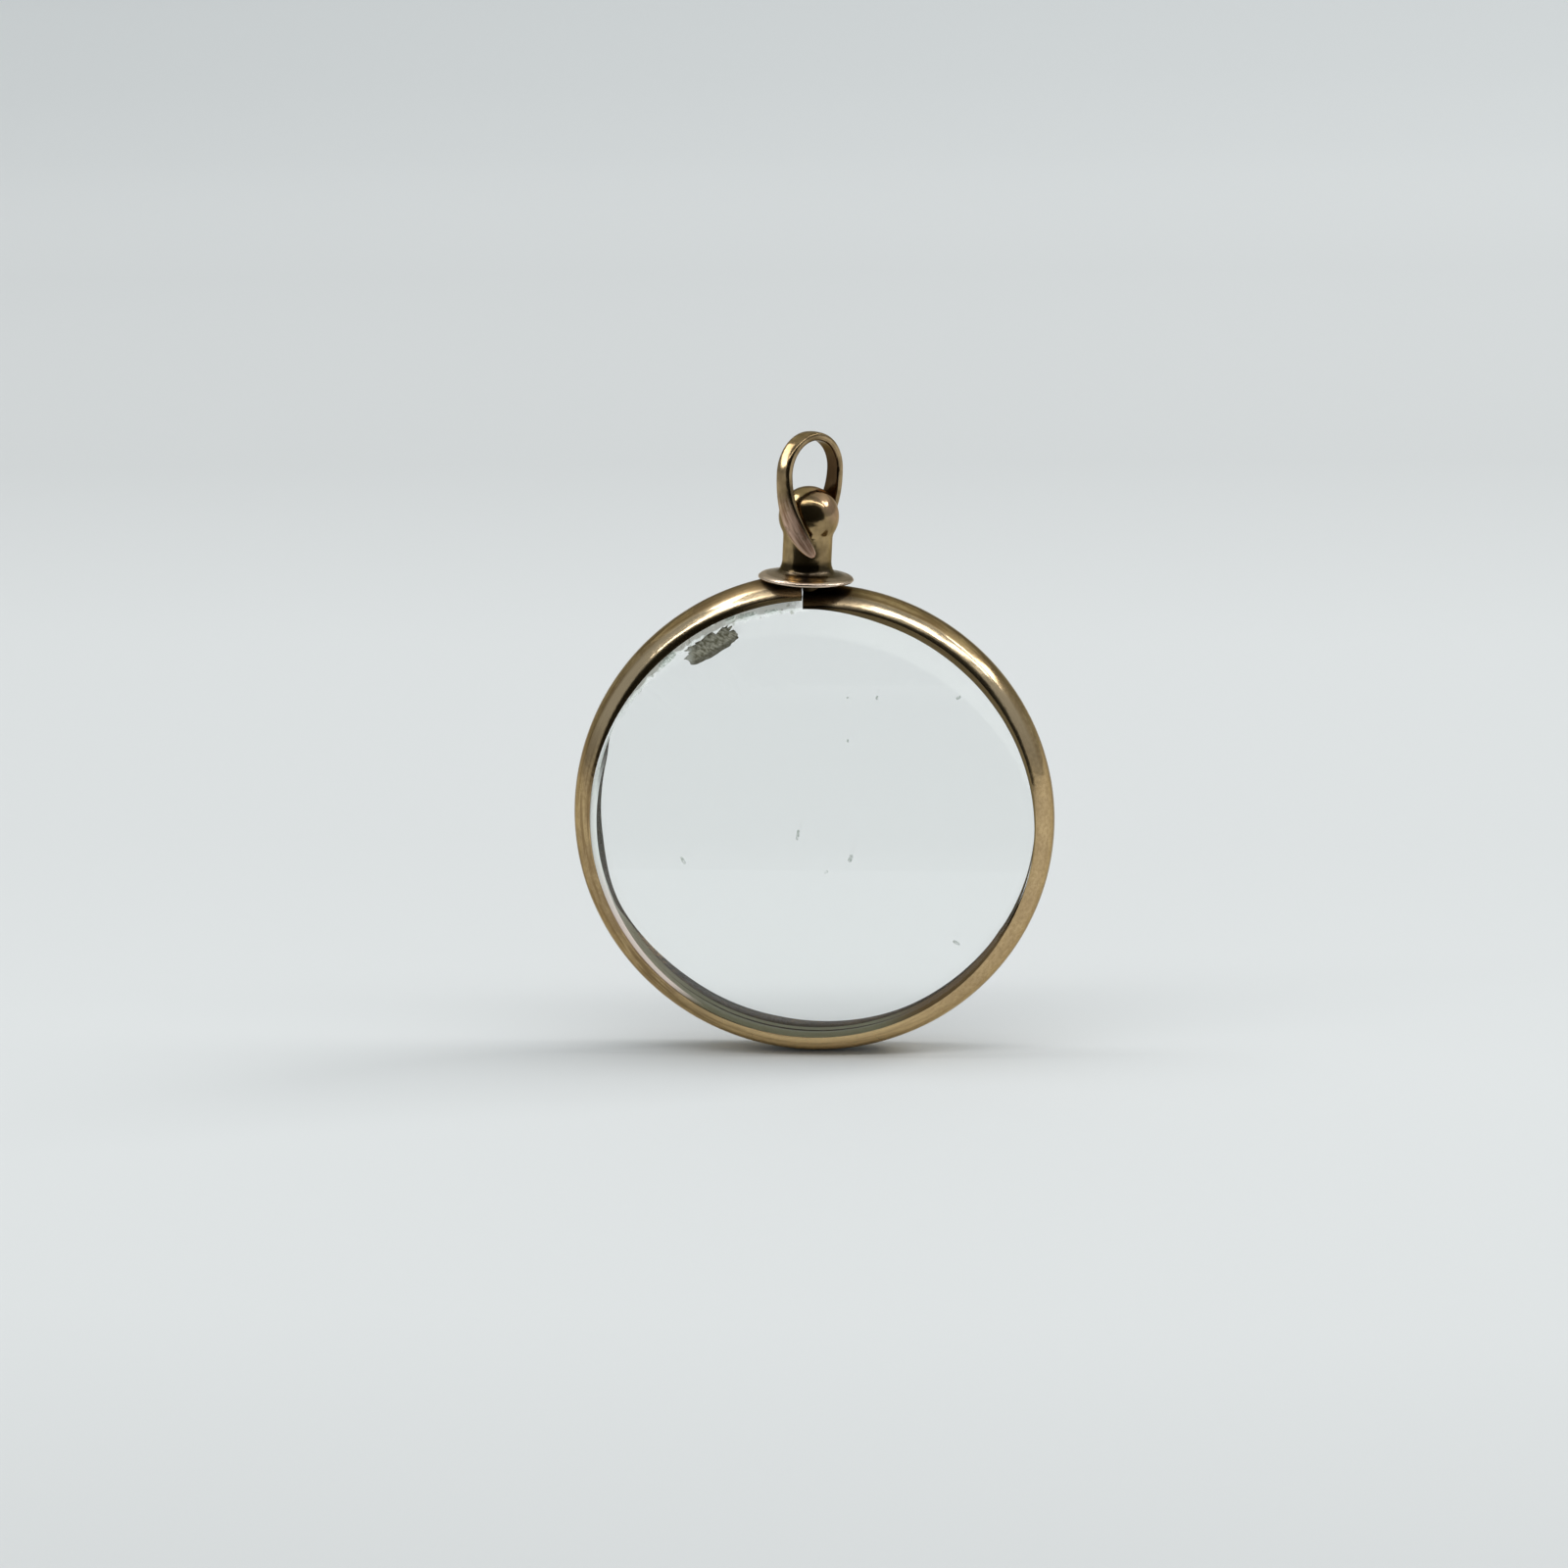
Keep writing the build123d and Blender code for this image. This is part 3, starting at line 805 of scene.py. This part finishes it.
def screw_cap(material):
    """The cap, turned in one piece, stood on the hoop's posts and drilled for the pin."""

    def dented(r, h, turn):
        """The washer's rim is a little out of true."""
        out = max(0.0, r - TRUE_RADIUS) / (WASHER_RADIUS - TRUE_RADIUS)
        spot = Vector((math.cos(turn), math.sin(turn), 0))
        r -= RIM_DENT * out * noise.noise(spot * 1.3) ** 2
        return r - RIM_RIPPLE * out * abs(noise.noise(spot * 4)), h

    cap = turned("screw_cap_turned", cap_profile(), CAP_SEGMENTS, material, dented)
    sideways = UP.cross(cap_axis).cross(cap_axis).normalized()
    sideways = -sideways if sideways.x < 0 else sideways
    stand(cap, pin_centre, cap_axis, sideways)
    drill(cap, pin_centre, pin_direction, PIN_HOLE_RADIUS * MM)
    return cap


def half_post(name, side, material):
    """Half post on one end of the hoop, hidden in the cap; side is -1 on the left."""
    top = -(CAP_HEIGHT - POST_LENGTH)
    low = pin_centre.z / MM - (hoop_centre.z + hoop_radius) / MM + POST_SINK
    profile = [(0, -low), (POST_RADIUS, -low), (POST_RADIUS, top - 0.1), (POST_RADIUS - 0.1, top), (0, top)]
    post = turned(name, profile, 48, material)
    stand(post, pin_centre, cap_axis, cap_axis.cross(Vector((0, 1, 0))).normalized())
    work = bmesh.new()
    work.from_mesh(post.data)
    edge = hoop_centre + Vector((SPLIT_OFFSET + side * SPLIT_GAP / 2, 0, 0)) * MM
    everything = list(work.verts) + list(work.edges) + list(work.faces)
    beyond = {"plane_co": edge, "plane_no": (-side, 0, 0), "clear_outer": True}
    cut = bmesh.ops.bisect_plane(work, geom=everything, **beyond)["geom_cut"]
    bmesh.ops.holes_fill(work, edges=[part for part in cut if isinstance(part, bmesh.types.BMEdge)])
    work.to_mesh(post.data)
    work.free()
    point_outwards(post.data)
    post.data.set_sharp_from_angle(angle=SHARP_EDGES)
    return post


def pin(material):
    """Short pin through the ball, its ends chamfered and let into the legs."""
    half, edge = PIN_LENGTH / 2, PIN_CHAMFER
    profile = [(0, -half), (PIN_RADIUS - edge, -half), (PIN_RADIUS, edge - half), (PIN_RADIUS, half - edge)]
    rod = turned("bail_pin", profile + [(PIN_RADIUS - edge, half), (0, half)], 40, material)
    stand(rod, pin_centre, pin_direction, pin_direction.cross(UP).normalized())
    rod.data.set_sharp_from_angle(angle=SHARP_EDGES)
    return rod


def pane_sizes():
    """Radius and thickness of a pane in millimetres, and how low it lies."""
    radius = hoop_radius / MM - FRAME_WALL - PANE_PLAY
    thickness = half_depth / MM - KEEPSAKE_GAP / 2 - PANE_SET_BACK
    return radius, thickness, PANE_PLAY - PANE_REST_GAP


# Marks on the front pane: place and size in the photograph's pixels, tilt in degrees, thickness in mm
GLUE = dict(right=726, down=658.5, length=57, width=21, tilt=31, thickness=0.07)
FLAKES = [
    dict(right=681, down=673, length=22, width=7, tilt=44, thickness=0.04),
    dict(right=762, down=628, length=20, width=3.2, tilt=12, thickness=0.03),
    dict(right=744, down=632, length=11, width=3, tilt=20, thickness=0.03),
    dict(right=787, down=623.5, length=14, width=2.4, tilt=8, thickness=0.03),
]
SPECKS = [
    dict(right=895, down=712, length=4, width=2.5, tilt=70, thickness=0.02),
    dict(right=978, down=712, length=5, width=3, tilt=30, thickness=0.02),
    dict(right=865, down=712, length=2.5, width=2, tilt=0, thickness=0.02),
    dict(right=865, down=756, length=3.5, width=2, tilt=80, thickness=0.02),
    dict(right=814, down=852, length=11, width=3, tilt=80, thickness=0.02),
    dict(right=868, down=876, length=8, width=4, tilt=70, thickness=0.02),
    dict(right=697, down=878, length=8, width=3, tilt=120, thickness=0.02),
    dict(right=843, down=890, length=4, width=2.5, tilt=40, thickness=0.02),
    dict(right=976, down=962, length=8, width=3, tilt=150, thickness=0.03),
]

# Chips along the front pane's rim: degrees from the right, half width in degrees, depth in millimetres
CHIP_REACH, CHIP_FADE = 0.6, 0.5     # how far in from the rim they reach, and over what width they fade
RIM_CHIPS = [
    (97, 1.6, 0.1), (101, 2.4, 0.2), (106, 1.8, 0.12), (111, 2.2, 0.24), (115.5, 2.6, 0.3), (120, 1.7, 0.16),
    (124, 2.4, 0.26), (129, 2, 0.18), (133.5, 2.8, 0.3), (139, 2.2, 0.2), (144, 1.8, 0.12), (151, 1.5, 0.08),
    (38, 1.2, 0.05), (57, 1.4, 0.06), (214, 2, 0.1), (223, 1.2, 0.06),
]


def chip_depth(degrees):
    """How far the rim is broken away at an angle."""
    depth = 0.0
    for place, reach, deep in RIM_CHIPS:
        share = 1 - ((degrees - place) / reach) ** 2
        depth = max(depth, deep * math.sqrt(share) if share > 0 else 0)
    crumbs = noise.noise(Vector((degrees * 0.9, 0, 0))) * 0.06
    crumbs += noise.noise(Vector((degrees * 2.3, 5, 0))) * 0.04
    return max(0.0, depth + crumbs if depth > 0 else 0.0)


def glass_pane(name, side, material, chips):
    """Bevelled pane, flat towards its neighbour; side is -1 at the front."""
    radius, thickness, drop = pane_sizes()
    rim, flat = RIM_THICKNESS, radius - BEVEL_WIDTH
    soft = ARRIS / 2
    corners = [(0, 0), (flat / 2, 0), (flat, 0), (radius - ARRIS, 0), (radius, ARRIS), (radius, rim - soft)]
    corners.append((radius - soft / 2, rim + soft))
    for share in (0.2, 0.4, 0.6, 0.8):
        corners.append((radius - BEVEL_WIDTH * share, rim + (thickness - rim) * share))
    corners += [(flat + soft / 2, thickness - soft), (flat - soft, thickness), (flat * 0.97, thickness)]
    corners += [(flat / 2, thickness), (0, thickness)]

    def broken(r, h, turn):
        """The rim where the chips have broken it away."""
        if not chips or r < radius - CHIP_REACH:
            return r, h
        degrees = math.degrees(turn)
        near_rim = min(1.0, (r - radius + CHIP_REACH) / CHIP_FADE)
        rough = noise.noise(Vector((degrees * 1.7, h * 9, r * 4)))
        depth = chip_depth(degrees)
        return r - depth * near_rim, h + depth * near_rim * 0.35 * rough

    pane = turned(name, corners, PANE_SEGMENTS, material, broken)
    origin = hoop_centre + Vector((0, side * KEEPSAKE_GAP / 2, -drop)) * MM
    axis = Vector((0, side, 0))
    stand(pane, origin, axis, Vector((1, 0, 0)))
    if side > 0:
        pane.data.flip_normals()
        point_outwards(pane.data)
    pane.data.set_sharp_from_angle(angle=math.radians(12))
    return pane


def pane_face(radius):
    """How far a pane's outer face stands from its flat side at a radius."""
    rim, thickness, _ = pane_sizes()
    share = min(1.0, max(0.0, (rim - radius) / BEVEL_WIDTH))
    return RIM_THICKNESS + (thickness - RIM_THICKNESS) * share


def stain(name, mark, material):
    """Thin lump on the front pane, where the photograph shows it."""
    place, right_way, up, ahead = view_axes(hoop_centre)
    _, thickness, drop = pane_sizes()
    front = hoop_centre.y - (KEEPSAKE_GAP / 2 + thickness) * MM
    turn = math.radians(mark["tilt"])
    sides, rings, squareness, sunk = 72, 7, 0.6, 0.02
    work = bmesh.new()

    def point(around, share, height):
        """Point of the lump at an angle around it, a share of the way out and a height above the glass."""
        torn = 0.25 if math.sin(around) > 0 else 0.8
        jag = 1 + 0.4 * torn * noise.noise(Vector((around * 1.3, mark["right"], 0)))
        jag += 0.4 * torn * noise.noise(Vector((around * 4.5, mark["right"], 7)))
        along = math.copysign(abs(math.cos(around)) ** squareness, math.cos(around))
        over = math.copysign(abs(math.sin(around)) ** squareness, math.sin(around))
        along *= mark["length"] / 2 * share * jag
        over *= mark["width"] / 2 * share * jag
        right = mark["right"] + along * math.cos(turn) + over * math.sin(turn)
        down = mark["down"] - along * math.sin(turn) + over * math.cos(turn)
        ray = ahead + (right_way * (right - PHOTO_SIDE / 2) - up * (down - PHOTO_SIDE / 2)) / FOCAL_PIXELS
        spot = place + ray * ((front - place.y) / ray.y)
        radius = math.hypot(spot.x - hoop_centre.x, spot.z - hoop_centre.z + drop * MM) / MM
        spot.y = hoop_centre.y - (KEEPSAKE_GAP / 2 + pane_face(radius) + height) * MM
        return work.verts.new(spot)

    levels = [(share / rings, mark["thickness"]) for share in range(1, rings)]
    levels += [(1.0, 0.2 * mark["thickness"]), (0.98, -sunk)]
    loops = []
    for share, height in levels:
        loops.append([point(2 * math.pi * side / sides, share, height) for side in range(sides)])
    top, bottom = point(0, 0, mark["thickness"]), point(0, 0, -sunk)
    for side in range(sides):
        after = (side + 1) % sides
        work.faces.new((top, loops[0][side], loops[0][after]))
        work.faces.new((bottom, loops[-1][after], loops[-1][side]))
        for near, far in zip(loops, loops[1:]):
            work.faces.new((near[side], far[side], far[after], near[after]))
    mesh = finished(work, name, material)
    point_outwards(mesh)
    return new_object(name, mesh)


def view_axes(centre):
    """Place of the photograph's camera and its right, up and forward directions."""
    level = Vector((math.sin(VIEW_TURN), -math.cos(VIEW_TURN), 0))
    back = level * math.cos(VIEW_LIFT) + UP * math.sin(VIEW_LIFT)
    right = (-back).cross(UP).normalized()
    up = right.cross(-back)
    ahead = (-back - right * (AIM_RIGHT / FOCAL_PIXELS) + up * (AIM_DOWN / FOCAL_PIXELS)).normalized()
    right = ahead.cross(UP).normalized()
    up = right.cross(ahead)
    rolled = right * math.cos(VIEW_ROLL) + up * math.sin(VIEW_ROLL)
    return centre + back * VIEW_DISTANCE, rolled, rolled.cross(ahead), ahead


def photo_camera():
    """Camera where the photograph's stood, with its angle of view."""
    place, right, up, ahead = view_axes(hoop_centre)
    data = bpy.data.cameras.new("photo_camera")
    data.sensor_width = SENSOR
    data.lens = SENSOR * FOCAL_PIXELS / PHOTO_SIDE
    data.clip_start = 5 * MM
    data.clip_end = 20
    camera = new_object("photo_camera", data)
    camera.matrix_world = placing(right, up, -ahead, place)
    bpy.context.scene.camera = camera


def soft_light(name, direction, distance, width, height, radiance, aim=hoop_centre, roll=0):
    """Area light that faces a point from a direction, as bright as its radiance says; sizes in metres."""
    data = bpy.data.lights.new(name, "AREA")
    data.shape = "RECTANGLE"
    data.size, data.size_y = width, height
    data.energy = radiance * math.pi * width * height
    lamp = new_object(name, data)
    towards = Vector(direction).normalized()
    lamp.matrix_world = towards.to_track_quat("Z", "Y").to_matrix().to_4x4() @ Matrix.Rotation(roll, 4, "Z")
    lamp.location = aim + towards * distance
    return lamp


def dark_card(name, place, normal, width, height, shade, pale):
    """Dull card, paler at its edges, that shows in the gold's reflections alone."""
    material, bench, shader = new_material(name, {"Roughness": 1.0, "Specular IOR Level": 0.0})
    x, y, _ = bench.node("ShaderNodeTexCoord", output="UV").parts()
    paler = (x - 0.5).size().most((y - 0.5).size()).ease(0.34, 0.5)
    feed(shader, "Base Color", paler.colour((shade, shade, 0.9 * shade, 1), (pale, pale, 0.97 * pale, 1)))
    work = bmesh.new()
    work.loops.layers.uv.new("UVMap")
    bmesh.ops.create_grid(work, x_segments=1, y_segments=1, size=0.5, calc_uvs=True)
    turn = Vector(normal).to_track_quat("Z", "Y").to_matrix().to_4x4()
    place = Matrix.Translation(hoop_centre + Vector(place)) @ turn @ Matrix.Diagonal((width, height, 1, 1))
    bmesh.ops.transform(work, matrix=place, verts=work.verts)
    card = new_object(name, finished(work, name, material))
    card.visible_camera = False
    card.visible_diffuse = False
    card.visible_shadow = False
    card.visible_transmission = False


def sweep(material):
    """Paper that lies under the locket and rises behind it in a wide curve; in metres."""
    front, foot, bend, top, side = -3.0, 1.0, 3.0, 4.0, 5.0
    steps = 16
    low = hoop_low.z - FLOOR_GAP * MM
    line = [(front, low), (-0.4, low), (0.2, low), (foot, low)]
    for step in range(1, steps + 1):
        turn = math.pi / 2 * step / steps
        line.append((foot + bend * math.sin(turn), low + bend * (1 - math.cos(turn))))
    line.append((foot + bend, low + top))
    work = bmesh.new()
    rows = [[work.verts.new((x, y, z)) for x in (-side, 0, side)] for y, z in line]
    for near, far in zip(rows, rows[1:]):
        for left in range(2):
            work.faces.new((near[left], near[left + 1], far[left + 1], far[left])).smooth = True
    mesh = finished(work, "paper_sweep", material)
    new_object("paper_sweep", mesh)


def studio():
    """Plain soft light: overhead softbox, lamp at the right, small strip by the bail, and dull cards."""
    world = bpy.data.worlds.new("studio")
    bpy.context.scene.world = world
    world.use_nodes = True
    background = world.node_tree.nodes["Background"]
    background.inputs["Color"].default_value = (0.93, 0.98, 1.0, 1)
    background.inputs["Strength"].default_value = 0.38
    soft_light("softbox_above", (0.03, -0.38, 0.92), 1.6, 4.4, 0.16, 6.0)
    soft_light("lamp_right", (0.745, 0.16, 0.65), 2.0, 0.7, 0.7, 8.0)
    arch = pin_centre + Vector((-0.96, -1.15, 3.56)) * MM
    strip = soft_light("strip_left", (-0.84, 0.07, 0.54), 0.01, 0.004, 0.011, 5.5, arch, math.radians(45))
    strip.visible_camera = False
    strip.visible_diffuse = False
    overhead = soft_light("soft_overhead", (0, 0.05, 1), 1.5, 2.6, 0.4, 3.5)
    overhead.visible_glossy = False
    dark_card("dim_room", (0.0, -0.1, 0.045), (0, 1, 0), 0.5, 0.25, 0.03, 0.6)
    dark_card("dim_table", (0.0, -0.07, FLOOR_GAP * MM - hoop_radius), (0, 0, 1), 0.08, 0.06, 0.04, 0.3)
    dark_card("dim_ceiling", (0, 0.14, 0.22), (0, -0.3, -1), 0.6, 0.26, 0.8, 0.9)
    bpy.context.scene.view_settings.view_transform = "Standard"


hoop_gold = gold_finish("hoop_gold", tone(194, 168, 124), tone(168, 144, 108), 0.14, 0.014, hoop_wear_and_painted_light)
cap_gold = gold_finish("cap_gold", tone(170, 146, 106), tone(130, 110, 78), 0.16, 0.035, cap_wear_and_painted_light)
bail_gold = gold_finish("bail_gold", tone(172, 148, 112), tone(130, 110, 80), 0.16, 0.025, bail_wear_and_painted_light)
front_glass = glass_finish("front_glass", True)
back_glass = glass_finish("back_glass", False)
dried_glue = stain_finish("dried_glue", tone(92, 90, 70), tone(166, 164, 146), 4.2, 0.15)
grey_dust = stain_finish("grey_dust", tone(148, 158, 150), tone(196, 204, 200), 7.0, 0.9)

hoop = split_hoop(hoop_gold)
for piece in (hoop, half_post("post_left", -1, hoop_gold), half_post("post_right", 1, hoop_gold)):
    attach(piece, "locket")
    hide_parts("frame")

cap = screw_cap(cap_gold)
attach(cap, "cap")
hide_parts("screw_cap")

loop = bail_loop(bail_gold)
rod = pin(bail_gold)
for piece in (loop, rod):
    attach(piece, "bail")
    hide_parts("bail")

front_pane = glass_pane("pane_front", -1, front_glass, True)
back_pane = glass_pane("pane_back", 1, back_glass, False)
for piece, node in ((front_pane, "glass_front"), (back_pane, "glass_back")):
    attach(piece, "locket")
    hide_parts(node)

for number, mark in enumerate(FLAKES + SPECKS):
    speck = stain(f"dust_{number}", mark, grey_dust)
    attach(speck, "locket")
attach(stain("dried_glue", GLUE, dried_glue), "locket")

sweep(paper_finish())
studio()
photo_camera()
